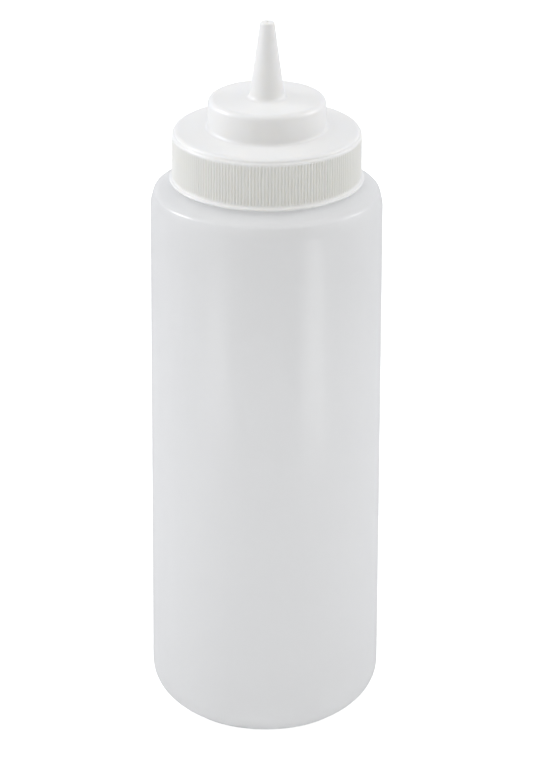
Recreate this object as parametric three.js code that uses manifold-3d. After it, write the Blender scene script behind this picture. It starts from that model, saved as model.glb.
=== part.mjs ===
// A one-litre-class wide-mouth squeeze bottle for sauces, with a screw-on cone-tip nozzle cap.
// Millimetres, +Z up. The origin is the centre of the ring that the bottle stands on.
//
// The bench pieces are:
//   bottle      blow-moulded translucent LDPE: pushed-up base, thin wall, shoulder, threaded neck
//   nozzle_cap  injection-moulded white LDPE: ribbed screw skirt, deck, stepped boss, hollow cone
//   seal_ring   flat soft ring, trapped between the neck's lip and the underside of the deck
import * as THREE from "three";
import { mergeVertices } from "three/addons/utils/BufferGeometryUtils.js";
import Module from "manifold-3d";

// ---------------------------------------------------------------- driving dimensions
const SEGMENTS = 48; // facets round the axis
const STEP_DEG = 360 / SEGMENTS;

// bottle
const BODY_R = 41.0; // outside radius of the straight wall
const WALL = 1.1; // wall of the blow-moulded body
const BASE_CORNER_TOP = 15.9; // where the straight wall starts
const STAND_R_OUT = 28.8; // flat standing ring, outer radius
const STAND_R_IN = 26.2; // flat standing ring, inner radius
const PUSH_UP = 3.8; // height of the pushed-up centre of the base
const FLOOR = 1.4; // thickness of the base
const WALL_TOP = 192.0; // where the straight wall ends and the shoulder starts
const SHOULDER_SLOPE_DEG = 15; // rise of the shoulder towards the neck
const NECK_ROOT_Z = 202.0; // where the neck becomes a straight cylinder

// 63 mm neck finish, right-hand thread, 6 threads to the inch
const PITCH = 25.4 / 6;
const NECK_R = 29.9; // root of the neck's thread
const NECK_THREAD_R = 31.0; // crest of the neck's thread
const NECK_BORE_R = 28.4;
const LIP_Z = 218.0; // sealing lip
const NECK_THREAD_Z = 209.0; // centreline height where the neck's thread begins
const NECK_THREAD_STEPS = 74; // 74 x 7.5 degrees = 1.54 turns

// nozzle cap
const SKIRT_BOTTOM = 202.12;
const SKIRT_BORE_R = 31.6; // root of the cap's internal thread
const CAP_THREAD_R = 30.4; // crest of the cap's internal thread
const CAP_THREAD_STEPS = 86; // 1.8 turns
const THREAD_OFFSET = 1.53; // the cap's thread sits this far below the neck's
const CAP_THREAD_LEAD = 2.75; // how far under the neck's thread start the cap's thread begins
const BEAD_R = 34.37; // rolled bead round the bottom of the skirt
const RIB_R = 33.43; // crest of the grip ribs
const RIB_ROOT_R = 33.0;
const RIB_COUNT = 180;
const RIB_BOTTOM = 204.0;
const RIB_TOP = 218.9;
const LEDGE_Z = 219.25; // narrow ledge above the ribs
const DECK_Z = 220.79;
const DECK_EDGE_R = 1.5;
const DECK_RIM_R = 32.85;
const DECK_T = 1.69; // deck thickness
const BOSS_R = 20.8;
const BOSS_Z = 232.32;
const BOSS_EDGE_R = 2.15;
const BOSS_FOOT_R = 1.2;
const CAP_WALL = 1.6;
const NOZZLE_FOOT_R = 6.33; // cone radius at the boss's top
const NOZZLE_TIP_R = 2.5; // cone radius at the tip
const TIP_Z = 260.03; // overall height
const TIP_ROUND = 0.54;
const NOZZLE_FOOT_FILLET = 1.1;
const NOZZLE_WALL = 1.25;
const ORIFICE_R = 0.4;
const PLUG_R_OUT = 28.1; // plug ring that enters the neck's bore
const PLUG_R_IN = 27.0;
const PLUG_BOTTOM = 215.9;

// seal ring
const SEAL_R_IN = 28.45;
const SEAL_R_OUT = 31.3;
const SEAL_T = 1.0;
const SEAL_GAP = 0.05; // clearance over the lip and under the deck

// ---------------------------------------------------------------- helpers
const wasm = await Module();
wasm.setup();

// A closed three.js geometry as a solid that can be joined and cut.
function solid(geometry) {
  const g = geometry.clone();
  g.deleteAttribute("normal");
  g.deleteAttribute("uv");
  const merged = mergeVertices(g, 1e-4);
  const index = merged.index.array;
  const tri = [];
  for (let i = 0; i < index.length; i += 3) {
    const [a, b, c] = [index[i], index[i + 1], index[i + 2]];
    if (a !== b && b !== c && a !== c) tri.push(a, b, c);
  }
  return new wasm.Manifold(
    new wasm.Mesh({
      numProp: 3,
      vertProperties: merged.attributes.position.array,
      triVerts: new Uint32Array(tri),
    }),
  );
}

function geometryOf(manifold) {
  const m = manifold.getMesh();
  const v = new Float32Array(m.numVert * 3);
  for (let i = 0; i < m.numVert; i++)
    v.set(m.vertProperties.subarray(i * m.numProp, i * m.numProp + 3), i * 3);
  const g = new THREE.BufferGeometry();
  g.setAttribute("position", new THREE.BufferAttribute(v, 3));
  g.setIndex(new THREE.BufferAttribute(m.triVerts, 1));
  g.computeVertexNormals();
  return g;
}

// A profile of [radius, height] pairs turned round the Z axis.
function revolve(profile) {
  return new THREE.LatheGeometry(
    profile.map(([r, z]) => new THREE.Vector2(r, z)),
    SEGMENTS,
  ).rotateX(Math.PI / 2);
}

// Points on an arc, angles in degrees from the +radius direction towards +Z.
function arc(cr, cz, rr, rz, from, to, count) {
  const out = [];
  for (let i = 0; i <= count; i++) {
    const a = THREE.MathUtils.degToRad(from + ((to - from) * i) / count);
    out.push([cr + rr * Math.cos(a), cz + rz * Math.sin(a)]);
  }
  return out;
}

// A trapezoid section swept along the right-hand helix. It is drawn as a straight bar
// (x radius, y height, z angle) and then wound round the axis. Its ends fade into the wall.
function thread({ buried, root, crest, rootWidth, crestWidth, z, startStep, steps }) {
  const s = new THREE.Shape([
    new THREE.Vector2(buried, -rootWidth / 2),
    new THREE.Vector2(root, -rootWidth / 2),
    new THREE.Vector2(crest, -crestWidth / 2),
    new THREE.Vector2(crest, crestWidth / 2),
    new THREE.Vector2(root, rootWidth / 2),
    new THREE.Vector2(buried, rootWidth / 2),
  ]);
  const bar = new THREE.ExtrudeGeometry(s, {
    depth: steps,
    steps,
    bevelEnabled: false,
  });
  const p = bar.attributes.position;
  for (let i = 0; i < p.count; i++) {
    const [r, y, n] = [p.getX(i), p.getY(i), p.getZ(i)];
    const fade = Math.min(1, Math.min(n, steps - n) / 4);
    const proud = (r - root) / (crest - root); // 1 on the crest, 0 on the root, below 0 when buried
    const radius = proud > 0 ? root + (crest - root) * proud * fade : r;
    const a = THREE.MathUtils.degToRad((startStep + n + 0.43) * STEP_DEG);
    p.setXYZ(i, radius * Math.cos(a), radius * Math.sin(a), z + (PITCH * n) / SEGMENTS - y);
  }
  return bar;
}

// ---------------------------------------------------------------- bottle
const tanSlope = Math.tan(THREE.MathUtils.degToRad(SHOULDER_SLOPE_DEG));
const shoulderOut = [
  [BODY_R, WALL_TOP],
  [40.94, WALL_TOP + 1.4],
  [40.76, WALL_TOP + 2.79],
  [40.45, WALL_TOP + 4.16],
  [40.03, WALL_TOP + 5.5],
  [39.7, WALL_TOP + 6.0],
  [38.75, WALL_TOP + 6.68],
  [37.5, WALL_TOP + 7.2],
];
const slopeEnd = [31.3, WALL_TOP + 7.2 + (37.5 - 31.3) * tanSlope];
const shoulderIn = [
  [BODY_R - WALL, WALL_TOP],
  [39.78, WALL_TOP + 1.9],
  [39.45, WALL_TOP + 3.6],
  [38.95, WALL_TOP + 4.9],
  [38.1, WALL_TOP + 5.65],
  [37.1, WALL_TOP + 6.08],
];
const slopeEndIn = [30.4, slopeEnd[1] - WALL + 0.2];
const baseOut = [
  [STAND_R_OUT, 0],
  [31.6, 1.45],
  [33.65, 2.78],
  [35.4, 4.2],
  [36.76, 5.58],
  [38.72, 8.11],
  [40.01, 10.68],
  [40.75, 13.26],
  [BODY_R, BASE_CORNER_TOP],
];
const baseIn = [
  [0, PUSH_UP + FLOOR],
  [12, PUSH_UP + FLOOR - 0.35],
  [21, PUSH_UP + FLOOR - 1.7],
  [25.2, FLOOR + 0.55],
  [27.6, FLOOR],
  [30.6, FLOOR + 1.15],
  [33.1, FLOOR + 2.75],
  [35.6, FLOOR + 5.1],
  [37.7, FLOOR + 7.9],
  [39.1, FLOOR + 10.9],
  [BODY_R - WALL, BASE_CORNER_TOP + 0.2],
];

const bottleProfile = [
  [0, PUSH_UP],
  [11, PUSH_UP - 0.3],
  [19, PUSH_UP - 1.3],
  [23.6, PUSH_UP - 2.7],
  [STAND_R_IN, 0],
  ...baseOut,
  ...shoulderOut,
  slopeEnd,
  [30.4, slopeEnd[1] + 0.4],
  [NECK_R, NECK_ROOT_Z],
  [NECK_R, LIP_Z - 0.45],
  [NECK_R - 0.4, LIP_Z],
  [NECK_BORE_R + 0.3, LIP_Z],
  [NECK_BORE_R, LIP_Z - 0.35],
  [NECK_BORE_R, NECK_ROOT_Z - 0.2],
  [28.9, NECK_ROOT_Z - 1.1],
  slopeEndIn,
  ...shoulderIn.slice().reverse(),
  ...baseIn.slice().reverse(),
];

const neckThread = thread({
  buried: NECK_R - 0.7,
  root: NECK_R - 0.1,
  crest: NECK_THREAD_R,
  rootWidth: 2.3,
  crestWidth: 1.0,
  z: NECK_THREAD_Z,
  startStep: 0,
  steps: NECK_THREAD_STEPS,
});
const bottleSolid = solid(revolve(bottleProfile)).add(solid(neckThread));

// ---------------------------------------------------------------- nozzle cap
const rad = (h) => NOZZLE_TIP_R + ((TIP_Z - h) * (NOZZLE_FOOT_R - NOZZLE_TIP_R)) / (TIP_Z - BOSS_Z);
const capProfile = [
  // outside, from the bottom of the skirt to the tip
  [SKIRT_BORE_R + 0.45, SKIRT_BOTTOM],
  [33.75, SKIRT_BOTTOM],
  [34.14, SKIRT_BOTTOM + 0.17],
  [BEAD_R, SKIRT_BOTTOM + 0.53],
  [BEAD_R - 0.04, SKIRT_BOTTOM + 0.85],
  [34.08, SKIRT_BOTTOM + 1.1],
  [33.72, SKIRT_BOTTOM + 1.38],
  [33.52, SKIRT_BOTTOM + 2.1],
  [RIB_ROOT_R, SKIRT_BOTTOM + 2.7],
  [RIB_ROOT_R, RIB_TOP + 0.12],
  [33.2, LEDGE_Z - 0.1],
  [33.0, LEDGE_Z],
  ...arc(DECK_RIM_R - DECK_EDGE_R, DECK_Z - DECK_EDGE_R, DECK_EDGE_R, DECK_EDGE_R, 0, 90, 4),
  ...arc(BOSS_R + BOSS_FOOT_R, DECK_Z + BOSS_FOOT_R, BOSS_FOOT_R, BOSS_FOOT_R, 270, 180, 3),
  ...arc(BOSS_R - BOSS_EDGE_R, BOSS_Z - BOSS_EDGE_R, BOSS_EDGE_R, BOSS_EDGE_R, 0, 90, 4),
  [rad(BOSS_Z) + NOZZLE_FOOT_FILLET, BOSS_Z],
  [rad(BOSS_Z) + 0.3, BOSS_Z + 0.35],
  [rad(BOSS_Z + NOZZLE_FOOT_FILLET), BOSS_Z + NOZZLE_FOOT_FILLET],
  [rad(TIP_Z - TIP_ROUND), TIP_Z - TIP_ROUND],
  [NOZZLE_TIP_R - 0.1, TIP_Z - 0.18],
  [NOZZLE_TIP_R - TIP_ROUND, TIP_Z],
  // inside, from the orifice down to the bottom of the skirt
  [ORIFICE_R, TIP_Z],
  [ORIFICE_R, TIP_Z - 1.4],
  [rad(TIP_Z - 2.6) - NOZZLE_WALL, TIP_Z - 2.6],
  [rad(BOSS_Z) - NOZZLE_WALL - 0.1, BOSS_Z - 0.3],
  [rad(BOSS_Z) + 0.4, BOSS_Z - CAP_WALL],
  [BOSS_R - CAP_WALL - 1.2, BOSS_Z - CAP_WALL],
  [BOSS_R - CAP_WALL - 0.35, BOSS_Z - CAP_WALL - 0.35],
  [BOSS_R - CAP_WALL, BOSS_Z - CAP_WALL - 1.2],
  [BOSS_R - CAP_WALL, DECK_Z - DECK_T + 0.6],
  [BOSS_R - CAP_WALL + 0.6, DECK_Z - DECK_T],
  [PLUG_R_IN, DECK_Z - DECK_T],
  [PLUG_R_IN + 0.25, PLUG_BOTTOM + 0.3],
  [PLUG_R_IN + 0.4, PLUG_BOTTOM],
  [PLUG_R_OUT - 0.5, PLUG_BOTTOM],
  [PLUG_R_OUT, PLUG_BOTTOM + 1.0],
  [PLUG_R_OUT, DECK_Z - DECK_T],
  [SKIRT_BORE_R, DECK_Z - DECK_T],
  [SKIRT_BORE_R, SKIRT_BOTTOM + 0.5],
  [SKIRT_BORE_R + 0.45, SKIRT_BOTTOM],
];

// The grip: a ring with one fine vertical rib every two degrees.
const ribShape = new THREE.Shape();
for (let i = 0; i < RIB_COUNT * 2; i++) {
  const a = (i * Math.PI) / RIB_COUNT;
  const r = i % 2 ? RIB_ROOT_R : RIB_R;
  ribShape[i ? "lineTo" : "moveTo"](r * Math.cos(a), r * Math.sin(a));
}
ribShape.closePath();
const ribHole = new THREE.Path();
for (let i = 0; i < SEGMENTS; i++) {
  const a = (-i * 2 * Math.PI) / SEGMENTS;
  const r = 32.4;
  ribHole[i ? "lineTo" : "moveTo"](r * Math.cos(a), r * Math.sin(a));
}
ribHole.closePath();
ribShape.holes.push(ribHole);
const ribRing = new THREE.ExtrudeGeometry(ribShape, {
  depth: RIB_TOP - RIB_BOTTOM,
  bevelEnabled: false,
}).translate(0, 0, RIB_BOTTOM);

const capThreadLeadSteps = Math.round((CAP_THREAD_LEAD / PITCH) * SEGMENTS);
const capThread = thread({
  buried: SKIRT_BORE_R + 0.7,
  root: SKIRT_BORE_R + 0.1,
  crest: CAP_THREAD_R,
  rootWidth: 2.1,
  crestWidth: 0.9,
  z: NECK_THREAD_Z - THREAD_OFFSET - (capThreadLeadSteps * PITCH) / SEGMENTS,
  startStep: -capThreadLeadSteps,
  steps: CAP_THREAD_STEPS,
});
const capSolid = solid(revolve(capProfile))
  .add(solid(ribRing))
  .add(solid(capThread));

// ---------------------------------------------------------------- seal ring
const sealLow = LIP_Z + SEAL_GAP;
const sealProfile = [
  [SEAL_R_IN, sealLow],
  [SEAL_R_OUT, sealLow],
  [SEAL_R_OUT, sealLow + SEAL_T - 0.01],
  [SEAL_R_IN, sealLow + SEAL_T - 0.01],
  [SEAL_R_IN, sealLow],
];

// ---------------------------------------------------------------- the assembly
const bottle = new THREE.Mesh(
  geometryOf(bottleSolid),
  new THREE.MeshStandardMaterial({
    color: 0xdcdde0,
    roughness: 0.42,
    metalness: 0,
    transparent: true,
    opacity: 0.82,
  }),
);
bottle.name = "bottle";

const nozzleCap = new THREE.Mesh(
  geometryOf(capSolid),
  new THREE.MeshStandardMaterial({ color: 0xf1f1ec, roughness: 0.38, metalness: 0 }),
);
nozzleCap.name = "nozzle_cap";

const sealRing = new THREE.Mesh(
  revolve(sealProfile),
  new THREE.MeshStandardMaterial({ color: 0xe8e8e4, roughness: 0.6, metalness: 0 }),
);
sealRing.name = "seal_ring";

// The ring travels up with the cap, and the cap turns over it.
const closure = new THREE.Group();
closure.add(sealRing, nozzleCap);

const squeezeBottle = new THREE.Group();
squeezeBottle.add(bottle, closure);

export default squeezeBottle;
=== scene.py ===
import math

import bpy
import numpy as np
from mathutils import Euler, Matrix, Quaternion


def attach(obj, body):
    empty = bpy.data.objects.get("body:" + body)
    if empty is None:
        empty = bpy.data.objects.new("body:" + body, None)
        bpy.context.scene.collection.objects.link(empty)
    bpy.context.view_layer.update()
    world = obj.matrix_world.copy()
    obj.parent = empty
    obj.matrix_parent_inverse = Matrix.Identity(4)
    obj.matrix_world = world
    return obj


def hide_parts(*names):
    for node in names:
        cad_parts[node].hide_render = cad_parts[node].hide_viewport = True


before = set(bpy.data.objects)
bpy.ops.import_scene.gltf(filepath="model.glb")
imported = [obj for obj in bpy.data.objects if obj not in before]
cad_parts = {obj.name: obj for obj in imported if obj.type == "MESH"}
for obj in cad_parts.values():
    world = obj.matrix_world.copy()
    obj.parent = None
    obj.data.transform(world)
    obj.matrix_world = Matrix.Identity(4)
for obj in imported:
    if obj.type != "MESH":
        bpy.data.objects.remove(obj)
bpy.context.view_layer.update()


MM = 0.001
TAU = 2 * math.pi


# ------------------------------------------------------------------ profile helpers (millimetres)
def arc(cr, cz, rr, rz, a0, a1, n):
    """Points on an ellipse arc, angles in degrees from +r towards +z, both ends included."""
    t = np.radians(np.linspace(a0, a1, n))
    return [(cr + rr * math.cos(a), cz + rz * math.sin(a)) for a in t]


def fillet(points, n=7):
    """A polyline of (r, z, radius) whose corners are rounded; radius 0 keeps the corner."""
    out = []
    for i, (r, z, q) in enumerate(points):
        if q == 0 or i in (0, len(points) - 1):
            out.append((r, z))
            continue
        p = np.array((r, z), float)
        a = np.array(points[i - 1][:2], float) - p
        b = np.array(points[i + 1][:2], float) - p
        la, lb = np.linalg.norm(a), np.linalg.norm(b)
        a, b = a / la, b / lb
        half = math.acos(max(-1.0, min(1.0, float(a @ b)))) / 2
        d = min(q / math.tan(half), 0.49 * la, 0.49 * lb)
        rad = d * math.tan(half)
        c = p + (a + b) / np.linalg.norm(a + b) * (rad / math.sin(half))
        s, e = p + a * d, p + b * d
        t0 = math.atan2(*(s - c)[::-1])
        t1 = math.atan2(*(e - c)[::-1])
        dt = (t1 - t0 + math.pi) % TAU - math.pi
        for k in range(n):
            t = t0 + dt * k / (n - 1)
            out.append((c[0] + rad * math.cos(t), c[1] + rad * math.sin(t)))
    return out


def spline(points, step):
    """A centripetal Catmull-Rom curve through the points, sampled about every step."""
    p = np.array(points, float)
    p = np.vstack([2 * p[0] - p[1], p, 2 * p[-1] - p[-2]])
    out = []
    for i in range(1, len(p) - 2):
        p0, p1, p2, p3 = p[i - 1], p[i], p[i + 1], p[i + 2]
        t1 = np.linalg.norm(p1 - p0) ** 0.5
        t2 = t1 + np.linalg.norm(p2 - p1) ** 0.5
        t3 = t2 + np.linalg.norm(p3 - p2) ** 0.5
        n = max(2, int(round(np.linalg.norm(p2 - p1) / step)))
        for k in range(n):
            t = t1 + (t2 - t1) * k / n
            a1 = (t1 - t) / t1 * p0 + t / t1 * p1
            a2 = (t2 - t) / (t2 - t1) * p1 + (t - t1) / (t2 - t1) * p2
            a3 = (t3 - t) / (t3 - t2) * p2 + (t - t2) / (t3 - t2) * p3
            b1 = (t2 - t) / t2 * a1 + t / t2 * a2
            b2 = (t3 - t) / (t3 - t1) * a2 + (t - t1) / (t3 - t1) * a3
            out.append(tuple((t2 - t) / (t2 - t1) * b1 + (t - t1) / (t2 - t1) * b2))
    out.append(tuple(p[-2]))
    return out


def turning(r, z, rhos, angles, n=7):
    """A convex curve from (r, z) going up whose normal turns through angles with radii rhos."""
    out = [(r, z)]
    for rho, a0, a1 in zip(rhos, angles[:-1], angles[1:]):
        t = np.radians(np.linspace(a0, a1, n))
        r0, z0 = out[-1]
        for x in t[1:]:
            out.append((r0 - rho * (math.cos(t[0]) - math.cos(x)), z0 + rho * (math.sin(x) - math.sin(t[0]))))
    return out


def straighten(points, longest, edge=0.3):
    """Extra points on long runs, with one close to each end, so that smooth shading stays true."""
    out = [points[0]]
    for a, b in zip(points, points[1:]):
        a, b = np.array(a, float), np.array(b, float)
        length = np.linalg.norm(b - a)
        if length < 1e-6:
            continue
        if length > 4 * edge:
            marks = [edge / length]
            n = int(math.ceil((length - 2 * edge) / longest))
            marks += [edge / length + (1 - 2 * edge / length) * k / n for k in range(1, n)]
            marks += [1 - edge / length]
            out += [tuple(a + (b - a) * m) for m in marks]
        out.append(tuple(b))
    return out


# ------------------------------------------------------------------ mesh helper
class Shell:
    """A closed surface built ring by ring round the Z axis; rings run along the profile."""

    def __init__(self):
        self.v, self.f, self.last, self.first, self.count = [], [], None, None, 0

    def ring(self, th, r, z):
        th = np.asarray(th, float)
        r = np.broadcast_to(r, th.shape)
        z = np.broadcast_to(z, th.shape)
        ids = list(range(self.count, self.count + len(th)))
        self.v.append(np.stack([r * np.cos(th), r * np.sin(th), z], 1))
        self.count += len(th)
        self._join(ids)

    def pole(self, z):
        self.v.append(np.array([[0.0, 0.0, z]]))
        self.count += 1
        self._join([self.count - 1])

    def _join(self, b):
        if self.last is None:
            self.first = b
        else:
            self.bridge(self.last, b)
        self.last = b

    def bridge(self, a, b):
        n, m = len(a), len(b)
        if n == m:
            for i in range(n):
                j = (i + 1) % n
                self.f.append((a[i], a[j], b[j], b[i]))
        elif n == 1:
            for i in range(m):
                self.f.append((a[0], b[(i + 1) % m], b[i]))
        elif m == 1:
            for i in range(n):
                self.f.append((a[i], a[(i + 1) % n], b[0]))
        elif m % n == 0:  # b is the finer ring
            k = m // n
            h = k // 2
            for i in range(n):
                j = (i + 1) % n
                for q in range(h):
                    self.f.append((a[i], b[i * k + q + 1], b[i * k + q]))
                self.f.append((a[i], a[j], b[i * k + h]))
                for q in range(h, k):
                    self.f.append((a[j], b[(i * k + q + 1) % m], b[i * k + q]))
        else:  # a is the finer ring
            k = n // m
            h = k // 2
            for i in range(m):
                j = (i + 1) % m
                for q in range(h):
                    self.f.append((a[i * k + q], a[i * k + q + 1], b[i]))
                self.f.append((a[i * k + h], b[j], b[i]))
                for q in range(h, k):
                    self.f.append((a[i * k + q], a[(i * k + q + 1) % n], b[j]))

    def close(self):
        self.bridge(self.last, self.first)

    def make(self, name, move=None):
        v = np.vstack(self.v)
        if move is not None:
            v = move(v)
        mesh = bpy.data.meshes.new(name)
        mesh.from_pydata((v * MM).tolist(), [], self.f)
        mesh.validate()
        mesh.shade_smooth()
        obj = bpy.data.objects.new(name, mesh)
        bpy.context.scene.collection.objects.link(obj)
        return obj


def smooth(x):
    x = np.clip(x, 0, 1)
    return x * x * (3 - 2 * x)


def helix_height(th, z, start, z0, pitch, turns, half_root, half_crest, fade_deg=32):
    """0 to 1: how far a right-hand thread stands out at each (angle, height)."""
    rel = np.mod(th - start, TAU)
    best = np.zeros(np.broadcast(th, z).shape)
    for k in range(int(turns) + 2):
        s = rel + TAU * k
        inside = s <= turns * TAU
        zh = z0 + pitch * s / TAU
        d = np.abs(z - zh)
        shape = smooth(1 - (d - half_crest) / (half_root - half_crest))
        fade = smooth(np.minimum(s, turns * TAU - s) / math.radians(fade_deg))
        best = np.maximum(best, np.where(inside, shape * fade, 0))
    return best


# ------------------------------------------------------------------ dimensions shared with the CAD (mm)
BODY_R, WALL = 41.0, 1.1
WALL_TOP = 192.0
NECK_R, NECK_THREAD_R, NECK_BORE_R, LIP_Z = 29.9, 31.0, 28.4, 218.0
PITCH = 25.4 / 6
STEP = math.radians(7.5)
NECK_THREAD = dict(start=0.43 * STEP, z0=209.0, pitch=PITCH, turns=74 / 48, half_root=1.12, half_crest=0.5)
LEAD_STEPS = 31
CAP_THREAD = dict(start=(0.43 - LEAD_STEPS) * STEP, z0=209.0 - 1.53 - LEAD_STEPS * PITCH / 48, pitch=PITCH,
                  turns=86 / 48, half_root=1.02, half_crest=0.45)

# ------------------------------------------------------------------ bottle
tan15 = math.tan(math.radians(15))
# the base corner: the normal turns from straight down to level
corner = turning(BODY_R, 0, (14.32, 15.48, 22.47, 17.51), (0, 20, 40, 60, 80), 7)
corner_top = 15.9
corner = [(r, corner_top - z) for r, z in corner][::-1]
corner = [(r, z) for r, z in corner if z > 1.3]
stand = spline([(25.9, 0.16), (26.7, 0.0), (28.2, 0.0), (29.2, 0.13), (30.6, 0.62), corner[0]], 0.45)
push_up = spline([(0.8, 3.8), (6, 3.72), (12, 3.4), (18, 2.72), (22, 1.9), (24.4, 0.95), (25.9, 0.16)], 1.0)
body_base = push_up + stand[1:] + corner[1:]
shoulder = turning(BODY_R, WALL_TOP, (16.09, 1.6, 4.4), (0, 20, 45, 75), 8)
sr, sz = shoulder[-1]
slope_end = (31.0, sz + (sr - 31.0) * tan15)
shoulder_top = fillet([(sr, sz, 0), (30.9, sz + (sr - 30.9) * tan15, 1.4), (NECK_R, 202.6, 0.9), (NECK_R, 206.0, 0)], 8)
outer_low = body_base + straighten([corner[-1], (BODY_R, WALL_TOP)], 4.0, 0.6)[1:] + shoulder[1:]
outer_low += straighten(shoulder_top, 1.2, 0.25)[1:-1]
neck_z = np.arange(206.0, 217.1, 0.26)
lip = fillet([(NECK_R, 216.9, 0), (NECK_R, LIP_Z, 0.4), (NECK_BORE_R, LIP_Z, 0.4), (NECK_BORE_R, 216.6, 0)], 6)[1:]
inner_shoulder = spline([(NECK_BORE_R, 202.2), (28.6, 201.2), (29.6, 200.35), (31.6, 199.75), (35.2, 198.75), (37.1, 198.08), (38.3, 197.5),
                         (39.1, 196.5), (39.5, 195.2), (39.75, 193.7), (BODY_R - WALL, WALL_TOP)], 0.9)
inner_base = spline([(BODY_R - WALL, 16.1), (39.55, 13.6), (38.7, 11.1), (37.2, 8.6), (35.1, 6.1), (32.6, 4.05), (29.8, 2.3), (27.4, 1.5),
                     (25.3, 1.95), (22.5, 3.1), (18, 4.2), (11, 4.9), (5, 5.15), (0.8, 5.2)], 1.3)
inner = straighten([(NECK_BORE_R, 216.6), (NECK_BORE_R, 202.2)], 3.5, 0.4)[1:] + inner_shoulder[1:]
inner += straighten([(BODY_R - WALL, WALL_TOP), (BODY_R - WALL, 16.1)], 8.0, 0.8)[1:] + inner_base[1:]

theta = list(np.linspace(0, TAU, 288, endpoint=False))
for centre in (0.0, math.pi):  # finer steps along the two mould parting lines
    for d in (0.1, 0.2, 0.34, 0.52, 0.76):
        theta += [math.radians(d) + centre, (centre - math.radians(d)) % TAU]
theta = np.array(sorted(set(round(t, 9) for t in theta)))

rng = np.random.default_rng(63)
HARM = [(k, rng.uniform(0, TAU), rng.uniform(0.4, 1.0) / (1 + 0.25 * k), rng.uniform(0.004, 0.016), rng.uniform(0, TAU)) for k in range(2, 12)]


def waviness(th, z):
    """The slight unevenness of a blown wall, in mm; it fades out at the base and the shoulder."""
    w = np.zeros(np.broadcast(th, z).shape)
    for k, ph, amp, kz, pz in HARM:
        w = w + amp * np.sin(k * th + ph + 0.6 * np.sin(kz * z + pz))
    env = smooth((z - 14) / 30) * smooth((191 - z) / 22)
    return 0.028 * w * env


def parting(th, r):
    """Two fine raised lines where the halves of the mould met, in mm."""
    s0 = np.minimum(np.mod(th, TAU), TAU - np.mod(th, TAU)) * r
    s1 = np.abs(np.mod(th, TAU) - math.pi) * r
    return 0.07 * (np.exp(-((s0 / 0.17) ** 2)) + np.exp(-((s1 / 0.17) ** 2)))


b = Shell()
b.pole(3.8)
for r, z in outer_low:
    z = max(z, 0.0)
    rr = r + waviness(theta, z)
    if z > 1.5 and r > 27:
        rr = rr + parting(theta, r) * (1.0 if z > 3 else 0.5)
    zz = z
    if r < 24:  # the weld left where the parison was pinched shut, across the pushed-up base
        y, x = r * np.sin(theta), r * np.cos(theta)
        zz = z - 0.28 * np.exp(-((y / 0.32) ** 2)) * smooth((21.5 - np.abs(x)) / 2.5)
    b.ring(theta, rr, zz)
for z in neck_z:
    h = helix_height(theta, z, **NECK_THREAD)
    b.ring(theta, NECK_R + (NECK_THREAD_R - NECK_R) * h + parting(theta, NECK_R) * 0.5, z)
for r, z in lip:
    b.ring(theta, r, z)
for r, z in inner:
    b.ring(theta, r + waviness(theta, z) if r > 38 else r, z)
b.pole(5.2)
bottle = b.make("bottle_wall")

# ------------------------------------------------------------------ nozzle cap
SKIRT_BOTTOM, SKIRT_BORE_R, CAP_THREAD_R = 202.12, 31.6, 30.4
BEAD_R, BEAD_Q, RIB_R, RIB_ROOT_R = 34.37, 0.5, 33.45, 33.06
RIBS = 180
DECK_Z, BOSS_R, BOSS_Z, BOSS_EDGE = 220.79, 20.8, 232.32, 2.15
TIP_Z, TIP_R, FOOT_R = 260.03, 2.5, 6.33


def cone(z):
    return TIP_R + (TIP_Z - z) * (FOOT_R - TIP_R) / (TIP_Z - BOSS_Z)


N1, N_RIB, N_NOZ = 360, 1440, 120
th1 = np.linspace(0, TAU, N1, endpoint=False)
thr = np.linspace(0, TAU, N_RIB, endpoint=False)
thn = np.linspace(0, TAU, N_NOZ, endpoint=False)
rib_wave = (0.5 + 0.5 * np.cos(RIBS * thr)) ** 0.85

c = Shell()
# bottom edge and rolled bead
bead = [(SKIRT_BORE_R + 0.55, SKIRT_BOTTOM), (32.5, SKIRT_BOTTOM), (33.4, SKIRT_BOTTOM)]
bead += arc(BEAD_R - BEAD_Q, SKIRT_BOTTOM + BEAD_Q, BEAD_Q, BEAD_Q, -84, 66, 13)
bead += [(33.93, SKIRT_BOTTOM + 1.0), (33.79, SKIRT_BOTTOM + 1.06), (33.66, SKIRT_BOTTOM + 1.15), (33.57, SKIRT_BOTTOM + 1.27)]
for r, z in bead:
    c.ring(th1, r, z)
# ribs, fading in from the bead and out under the ledge
for z, depth in ((203.48, 0.0), (203.62, 0.15), (203.85, 0.5), (204.15, 0.85), (204.5, 1.0), (209.5, 1.0), (213.5, 1.0), (217.5, 1.0), (217.95, 0.85), (218.25, 0.45),
                 (218.48, 0.1)):
    crest = RIB_R + 0.09 * (1 - smooth((z - 203.48) / 0.9)) - 0.02 * smooth((z - 217.9) / 0.5)
    c.ring(thr, crest - (RIB_R - RIB_ROOT_R) * (1 - rib_wave) * depth, z)
ledge = [(33.42, 218.62), (33.4, 218.8), (33.33, 218.98), (33.2, 219.14), (33.04, 219.28), (32.93, 219.36), (32.88, 219.43), (32.86, 219.52)]
rim = arc(30.8, 219.6, 2.05, 1.19, 5, 90, 13)
FOOT_Z = DECK_Z + 0.55  # the deck rises a little from the rim to the boss
deck_to_boss = rim[-1:] + [(BOSS_R + 1.4, FOOT_Z)]
boss_foot = arc(BOSS_R + 1.22, FOOT_Z + 1.2, 1.2, 1.2, 268, 180, 7)
boss_edge = arc(BOSS_R - BOSS_EDGE, BOSS_Z - BOSS_EDGE, BOSS_EDGE, BOSS_EDGE, 0, 90, 12)
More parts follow.
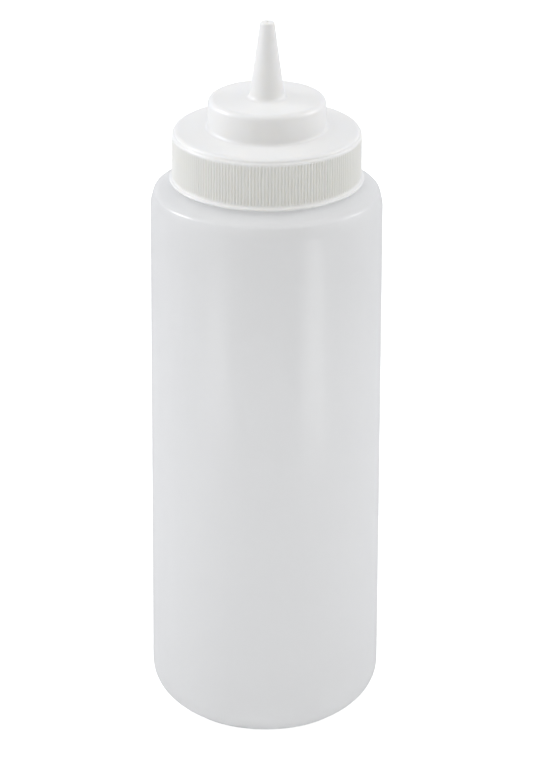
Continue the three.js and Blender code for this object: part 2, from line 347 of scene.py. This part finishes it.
noz_foot = fillet([(13, BOSS_Z, 0), (cone(BOSS_Z), BOSS_Z, 1.5), (cone(BOSS_Z + 6), BOSS_Z + 6, 0)], 8)[1:-1]
profile_a = ledge + rim
profile_a += straighten([deck_to_boss[0], boss_foot[0]], 1.6, 0.35)[1:] + boss_foot[1:]
profile_a += straighten([boss_foot[-1], boss_edge[0]], 1.5, 0.35)[1:] + boss_edge[1:]
profile_a += straighten([boss_edge[-1], (9.2, BOSS_Z)], 1.6, 0.35)[1:]
for r, z in profile_a:
    c.ring(th1, r, z)
profile_b = noz_foot
tip = [(cone(TIP_Z - 0.75), TIP_Z - 0.75)] + arc(TIP_R - 0.55, TIP_Z - 0.6, 0.62, 0.6, 8, 88, 7) + [(1.3, TIP_Z), (0.75, TIP_Z - 0.01), (0.52, TIP_Z - 0.03)]
profile_b += straighten([noz_foot[-1], tip[0]], 1.3, 0.35)[1:] + tip[1:]
orifice = [(0.44, TIP_Z - 0.1), (0.4, TIP_Z - 0.25), (0.4, TIP_Z - 1.4), (0.6, TIP_Z - 1.6), (cone(TIP_Z - 2.6) - 1.25, TIP_Z - 2.6)]
bore_foot = (cone(BOSS_Z) - 1.35, BOSS_Z - 0.3)
profile_b += orifice + straighten([orifice[-1], bore_foot], 2.5, 0.35)[1:]
under = fillet([bore_foot + (0,), (cone(BOSS_Z) - 1.3, BOSS_Z - 1.6, 1.0), (12, BOSS_Z - 1.6, 0)], 6)[1:-1]
profile_b += under
for r, z in profile_b:
    c.ring(thn, r, z)
inside = fillet([(9.5, BOSS_Z - 1.6, 0), (BOSS_R - 1.6, BOSS_Z - 1.6, 1.4), (BOSS_R - 1.6, DECK_Z - 1.69, 0.6), (27.0, DECK_Z - 1.69, 0.2), (27.1, 216.3, 0.0),
                 (27.35, 215.9, 0.1), (27.75, 215.9, 0.15), (28.1, 216.8, 0.3), (28.1, DECK_Z - 1.69, 0.2), (SKIRT_BORE_R, DECK_Z - 1.69, 0.25), (SKIRT_BORE_R, 213.9, 0)], 6)
for r, z in straighten(inside, 2.4, 0.3):
    c.ring(th1, r, z)
for z in np.arange(213.6, 203.5, -0.26):
    h = helix_height(th1, z, **CAP_THREAD)
    c.ring(th1, SKIRT_BORE_R - (SKIRT_BORE_R - CAP_THREAD_R) * h, z)
for r, z in ((SKIRT_BORE_R, 203.4), (SKIRT_BORE_R + 0.12, 203.15), (SKIRT_BORE_R + 0.3, 202.92)):
    c.ring(th1, r, z)
c.close()
cap = c.make("cap_moulding")

# ------------------------------------------------------------------ seal ring
s = Shell()
ths = np.linspace(0, TAU, 240, endpoint=False)
lo, hi = LIP_Z + 0.05, LIP_Z + 1.04
seal_profile = fillet([(28.9, lo, 0), (31.3, lo, 0.22), (31.3, hi, 0.22), (28.45, hi, 0.22), (28.45, lo, 0.22), (28.9, lo, 0)], 5)[:-1]
for r, z in seal_profile:
    s.ring(ths, r, z)
s.close()
seal = s.make("seal_gasket")


# ------------------------------------------------------------------ materials
def new_material(name):
    m = bpy.data.materials.new(name)
    m.use_nodes = True
    nt = m.node_tree
    nt.nodes.clear()
    out = nt.nodes.new("ShaderNodeOutputMaterial")
    bsdf = nt.nodes.new("ShaderNodeBsdfPrincipled")
    nt.links.new(bsdf.outputs["BSDF"], out.inputs["Surface"])
    return m, nt, bsdf, out


def coords(nt, scale=(1, 1, 1)):
    tc = nt.nodes.new("ShaderNodeTexCoord")
    mp = nt.nodes.new("ShaderNodeMapping")
    mp.inputs["Scale"].default_value = scale
    nt.links.new(tc.outputs["Object"], mp.inputs["Vector"])
    return mp.outputs["Vector"]


def noise(nt, vector, scale, detail=3.0, rough=0.5, distortion=0.0):
    n = nt.nodes.new("ShaderNodeTexNoise")
    n.inputs["Scale"].default_value = scale
    n.inputs["Detail"].default_value = detail
    n.inputs["Roughness"].default_value = rough
    n.inputs["Distortion"].default_value = distortion
    nt.links.new(vector, n.inputs["Vector"])
    return n.outputs["Fac"]


def remap(nt, value, a, b, c0, d, clamp=True):
    n = nt.nodes.new("ShaderNodeMapRange")
    n.clamp = clamp
    for k, v in zip(("From Min", "From Max", "To Min", "To Max"), (a, b, c0, d)):
        n.inputs[k].default_value = v
    nt.links.new(value, n.inputs["Value"])
    return n.outputs["Result"]


def mix_colour(nt, fac, a, b):
    n = nt.nodes.new("ShaderNodeMix")
    n.data_type = "RGBA"
    nt.links.new(fac, n.inputs["Factor"])
    for key, v in (("A", a), ("B", b)):
        socket = [i for i in n.inputs if i.name == key and i.type == "RGBA"][0]
        if isinstance(v, tuple):
            socket.default_value = v
        else:
            nt.links.new(v, socket)
    return [o for o in n.outputs if o.type == "RGBA"][0]


def math_node(nt, op, a, b=None):
    n = nt.nodes.new("ShaderNodeMath")
    n.operation = op
    for i, v in enumerate((a, b)):
        if v is None:
            continue
        if isinstance(v, (int, float)):
            n.inputs[i].default_value = v
        else:
            nt.links.new(v, n.inputs[i])
    return n.outputs[0]


def bump(nt, height, strength, distance, normal=None):
    n = nt.nodes.new("ShaderNodeBump")
    n.inputs["Strength"].default_value = strength
    n.inputs["Distance"].default_value = distance
    nt.links.new(height, n.inputs["Height"])
    if normal is not None:
        nt.links.new(normal, n.inputs["Normal"])
    return n.outputs["Normal"]


# natural, milky low-density polyethylene, blown: soft haze, faint vertical draw lines
m_bottle, nt, bsdf, out = new_material("natural_ldpe_blown")
v = coords(nt)
streak_v = coords(nt, (1, 1, 0.035))
streak = noise(nt, streak_v, 260, 3, 0.55)
cloud = noise(nt, v, 26, 4, 0.5)
haze = noise(nt, coords(nt, (1, 1, 0.3)), 95, 2, 0.5)
col = mix_colour(nt, remap(nt, cloud, 0.3, 0.7, 0, 1), (0.957, 0.958, 0.959, 1), (0.969, 0.970, 0.969, 1))
col = mix_colour(nt, remap(nt, streak, 0.35, 0.72, 0, 0.55), col, (0.978, 0.979, 0.978, 1))
nt.links.new(col, bsdf.inputs["Base Color"])
rough = math_node(nt, "ADD", remap(nt, haze, 0.3, 0.7, 0.19, 0.225), remap(nt, streak, 0.3, 0.7, -0.01, 0.025))
nt.links.new(rough, bsdf.inputs["Roughness"])
# the thin wall passes about two thirds of the light on, scattered; the mix also thins the gloss, so the index is raised to match
bsdf.inputs["IOR"].default_value = 2.15
through = nt.nodes.new("ShaderNodeBsdfTranslucent")
through.inputs["Color"].default_value = (0.969, 0.970, 0.9695, 1)
wall_mix = nt.nodes.new("ShaderNodeMixShader")
wall_mix.inputs[0].default_value = 0.68
nt.links.new(bsdf.outputs["BSDF"], wall_mix.inputs[1])
nt.links.new(through.outputs[0], wall_mix.inputs[2])
nt.links.new(wall_mix.outputs[0], out.inputs["Surface"])
n1 = bump(nt, streak, 0.10, 0.00010)
n2 = bump(nt, noise(nt, v, 900, 2, 0.5), 0.08, 0.00001, n1)
nt.links.new(n2, bsdf.inputs["Normal"])

# white moulded polyethylene: soft satin, very slightly warm
m_cap, nt, bsdf, out = new_material("white_ldpe_moulded")
v = coords(nt)
cloud = noise(nt, v, 60, 3, 0.5)
fine = noise(nt, v, 1500, 3, 0.6)
grain = noise(nt, v, 420, 2, 0.5)
col = mix_colour(nt, remap(nt, cloud, 0.3, 0.7, 0, 1), (0.887, 0.884, 0.874, 1), (0.905, 0.903, 0.894, 1))
# painted shade: the grip band is darkened towards a warm grey, deepest in the rib roots and lighter over the crests;
# the slight warmth of the band is its own colour
place = nt.nodes.new("ShaderNodeSeparateXYZ")
nt.links.new(v, place.inputs[0])
out_r = math_node(nt, "SQRT", math_node(nt, "ADD", math_node(nt, "MULTIPLY", place.outputs[0], place.outputs[0]), math_node(nt, "MULTIPLY", place.outputs[1], place.outputs[1])))
root = remap(nt, out_r, 0.03300, 0.03345, 1, 0.55)
band = math_node(nt, "MULTIPLY", remap(nt, place.outputs[2], 0.2033, 0.2039, 0, 1), remap(nt, place.outputs[2], 0.2178, 0.2184, 1, 0))
outside = remap(nt, out_r, 0.0326, 0.0329, 0, 1)
rib_painted_shade = math_node(nt, "MULTIPLY", math_node(nt, "MULTIPLY", root, band), outside)
# the painted rib shade mixes the cap colour towards a darker warm grey
col = mix_colour(nt, math_node(nt, "MULTIPLY", rib_painted_shade, 0.9), col, (0.80, 0.80, 0.755, 1))
nt.links.new(col, bsdf.inputs["Base Color"])
nt.links.new(remap(nt, grain, 0.3, 0.7, 0.29, 0.34), bsdf.inputs["Roughness"])
bsdf.inputs["IOR"].default_value = 1.51
bsdf.inputs["Subsurface Weight"].default_value = 0.6
bsdf.inputs["Subsurface Radius"].default_value = (1.1, 1.05, 0.95)
bsdf.inputs["Subsurface Scale"].default_value = 0.0007
n1 = bump(nt, fine, 0.10, 0.000006)
n2 = bump(nt, grain, 0.06, 0.000010, n1)
nt.links.new(n2, bsdf.inputs["Normal"])

# soft sealing ring: matt, slightly dusty off-white
m_seal, nt, bsdf, out = new_material("soft_seal_matt")
v = coords(nt)
fine = noise(nt, v, 2200, 4, 0.65)
cloud = noise(nt, v, 130, 3, 0.5)
col = mix_colour(nt, remap(nt, cloud, 0.3, 0.7, 0, 1), (0.76, 0.76, 0.74, 1), (0.83, 0.83, 0.81, 1))
nt.links.new(col, bsdf.inputs["Base Color"])
nt.links.new(remap(nt, fine, 0.3, 0.7, 0.55, 0.72), bsdf.inputs["Roughness"])
bsdf.inputs["Subsurface Weight"].default_value = 0.3
bsdf.inputs["Subsurface Scale"].default_value = 0.0008
nt.links.new(bump(nt, fine, 0.25, 0.00005), bsdf.inputs["Normal"])

for obj, mat, body, node, slot in (
    (bottle, m_bottle, "bottle", "bottle", "natural_ldpe"),
    (cap, m_cap, "cap", "nozzle_cap", "white_ldpe"),
    (seal, m_seal, "seal_carrier", "seal_ring", "soft_seal"),
):
    obj.data.materials.append(mat)
    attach(obj, body)
    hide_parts(node)

# ------------------------------------------------------------------ stage: pale floor, soft tent light
scene = bpy.context.scene
scene.view_settings.view_transform = "Standard"
scene.view_settings.look = "None"
scene.cycles.max_bounces = 16
scene.cycles.diffuse_bounces = 10
scene.cycles.transmission_bounces = 12

floor_mesh = bpy.data.meshes.new("floor")
floor_mesh.from_pydata([(-4, -4, 0), (4, -4, 0), (4, 4, 0), (-4, 4, 0)], [], [(0, 1, 2, 3)])
floor = bpy.data.objects.new("floor", floor_mesh)
scene.collection.objects.link(floor)
m_floor = bpy.data.materials.new("pale_floor")
m_floor.use_nodes = True
nt = m_floor.node_tree
nt.nodes.clear()
out = nt.nodes.new("ShaderNodeOutputMaterial")
diff = nt.nodes.new("ShaderNodeBsdfDiffuse")
diff.inputs["Color"].default_value = (0.86, 0.86, 0.86, 1)
# the floor is lit from below a little, like a light table, and is brighter to the eye so that it stays plain
glow = nt.nodes.new("ShaderNodeEmission")
path = nt.nodes.new("ShaderNodeLightPath")
lift = nt.nodes.new("ShaderNodeMath")
lift.operation = "MULTIPLY_ADD"
lift.inputs[1].default_value = 0.5
lift.inputs[2].default_value = 0.080
glow.inputs["Color"].default_value = (1.000, 1.000, 1.000, 1)
nt.links.new(path.outputs["Is Camera Ray"], lift.inputs[0])
nt.links.new(lift.outputs[0], glow.inputs["Strength"])
add = nt.nodes.new("ShaderNodeAddShader")
nt.links.new(diff.outputs[0], add.inputs[0])
nt.links.new(glow.outputs[0], add.inputs[1])
nt.links.new(add.outputs[0], out.inputs["Surface"])
floor_mesh.materials.append(m_floor)

world = bpy.data.worlds.new("tent")
scene.world = world
world.use_nodes = True
wt = world.node_tree
wt.nodes.clear()
w_out = wt.nodes.new("ShaderNodeOutputWorld")
w_bg = wt.nodes.new("ShaderNodeBackground")
w_bg.inputs["Color"].default_value = (0.0, 0.0, 0.0, 1)
w_bg.inputs["Strength"].default_value = 0.0
wt.links.new(w_bg.outputs[0], w_out.inputs["Surface"])

# The tent is three rings of soft panels and a top panel, all facing the object. Each ring gives its lowest and
# highest elevation, then the brightness (red, green, blue) of its panels from the camera side round to the right.
CENTRE = np.array((0.0, 0.0, 0.13))
REACH = 1.25
TENT = (
    ("low", 0, 20, (
        (0.35, 0.33, 0.30), (0.05, 0.03, 0.00), (0.02, 0.00, 0.00), (0.45, 0.44, 0.44), (0.69, 0.69, 0.70), (1.12, 1.12, 1.15),
        (1.37, 1.38, 1.42), (1.36, 1.37, 1.43), (1.33, 1.34, 1.40), (1.16, 1.17, 1.23), (0.98, 0.99, 1.04), (0.88, 0.89, 0.93),
        (0.89, 0.89, 0.92), (0.93, 0.94, 0.98), (1.08, 1.09, 1.15), (1.08, 1.09, 1.16), (1.07, 1.09, 1.16), (0.99, 1.01, 1.10),
        (1.11, 1.13, 1.22), (1.13, 1.15, 1.22), (0.99, 1.00, 1.05), (0.77, 0.78, 0.80), (0.67, 0.67, 0.66), (0.61, 0.61, 0.58),
    )),
    ("middle", 20, 42, (
        (0.67, 0.66, 0.62), (0.55, 0.54, 0.51), (0.36, 0.35, 0.33), (0.57, 0.57, 0.56), (0.94, 0.94, 0.95), (1.13, 1.14, 1.17),
        (1.17, 1.18, 1.22), (0.66, 0.67, 0.72), (0.72, 0.73, 0.79), (0.88, 0.89, 0.95), (0.69, 0.70, 0.75), (0.66, 0.67, 0.70),
        (0.77, 0.77, 0.78), (0.42, 0.43, 0.46), (0.60, 0.61, 0.65), (0.76, 0.77, 0.83), (0.67, 0.69, 0.75), (0.37, 0.38, 0.45),
        (0.86, 0.88, 0.94), (1.08, 1.09, 1.15), (0.95, 0.96, 1.00), (0.84, 0.85, 0.87), (0.76, 0.76, 0.75), (0.67, 0.66, 0.64),
    )),
    ("high", 42, 66, (
        (1.04, 1.04, 1.03), (0.89, 0.89, 0.88), (1.03, 1.04, 1.04), (1.13, 1.14, 1.16), (0.65, 0.65, 0.68), (0.41, 0.42, 0.44),
        (0.25, 0.26, 0.27), (0.24, 0.25, 0.27), (0.66, 0.68, 0.70), (1.32, 1.33, 1.36), (1.23, 1.24, 1.25), (1.08, 1.09, 1.09),
    )),
)
TOP = (1.13, 1.14, 1.14)


def panel(name, az, el, w, h, rgb):
    a, e = math.radians(az), math.radians(el)
    away = np.array((math.sin(a) * math.cos(e), -math.cos(a) * math.cos(e), math.sin(e)))
    peak = max(max(rgb), 1e-6)
    data = bpy.data.lights.new(name, "AREA")
    data.shape = "RECTANGLE"
    data.size, data.size_y = w, h
    data.energy = peak * math.pi * w * h
    data.color = tuple(c / peak for c in rgb)
    lamp = bpy.data.objects.new(name, data)
    x_axis = np.cross((0, 0, 1), away)
    x_axis = x_axis / np.linalg.norm(x_axis)
    m = np.eye(4)
    m[:3, 0], m[:3, 1], m[:3, 2], m[:3, 3] = x_axis, np.cross(away, x_axis), away, CENTRE + away * REACH
    lamp.matrix_world = Matrix(m.tolist())
    lamp.visible_camera = False
    scene.collection.objects.link(lamp)
    return lamp


def gloss_only(lamp):
    """Shows in the surfaces' shine only, and lights nothing else."""
    lamp.visible_diffuse = lamp.visible_transmission = lamp.visible_volume_scatter = False


for ring_name, lo, hi, colours in TENT:
    mid, n = math.radians((lo + hi) / 2), len(colours)
    for k, rgb in enumerate(colours):
        panel(f"{ring_name}_{k:02d}", 360 * k / n, (lo + hi) / 2, 2 * REACH * math.cos(mid) * math.tan(math.pi / n),
              2 * REACH * math.tan(math.radians((hi - lo) / 2)), rgb)
side = 2 * REACH * math.tan(math.radians(24)) * 0.886
panel("top", 0, 89.9, side, side, TOP)
# two small soft boxes put the highlights on the shoulder
panel("box_left", -101, 26, 0.27, 0.40, (8.0, 8.0, 8.0))
panel("box_right", 101, 26, 0.24, 0.36, (5.9, 5.9, 5.9))
gloss_only(panel("sheen_left", -99, 27, 0.34, 0.70, (7.0, 7.0, 7.0)))
gloss_only(panel("sheen_right", 99, 27, 0.30, 0.55, (4.0, 4.0, 4.0)))
# two strips lying on the floor, out of the picture, draw the faint upright bands on the wall
for name, az, power in (("strip_left", -47.6, 0.9), ("strip_right", 47.6, 1.5)):
    lamp = panel(name, az, 0, 0.15, 0.42, (power, power, power))
    gloss_only(lamp)
    a = math.radians(az)
    out_x, out_y = math.sin(a), -math.cos(a)
    m = np.eye(4)
    m[:3, 0], m[:3, 1], m[:3, 2] = (out_y, -out_x, 0), (-out_x, -out_y, 0), (0, 0, -1)
    m[:3, 3] = (out_x * 0.52, out_y * 0.52, 0.004)
    lamp.matrix_world = Matrix(m.tolist())

# ------------------------------------------------------------------ camera
cam_data = bpy.data.cameras.new("camera")
cam_data.sensor_fit = "VERTICAL"
cam_data.sensor_height = 36.0
cam_data.lens = 4716.7 * 36 / 759
cam_data.clip_start, cam_data.clip_end = 0.05, 20
cam_data.shift_x = 0.505 / 759
cam = bpy.data.objects.new("camera", cam_data)
tilt = Euler((math.radians(90 - 22.367), 0, 0)).to_quaternion()
roll = Quaternion((0, 0, 1), math.radians(0.21))
cam.rotation_mode = "QUATERNION"
cam.rotation_quaternion = tilt @ roll
cam.location = (0, -1.56498, 0.76934)
scene.collection.objects.link(cam)
scene.camera = cam
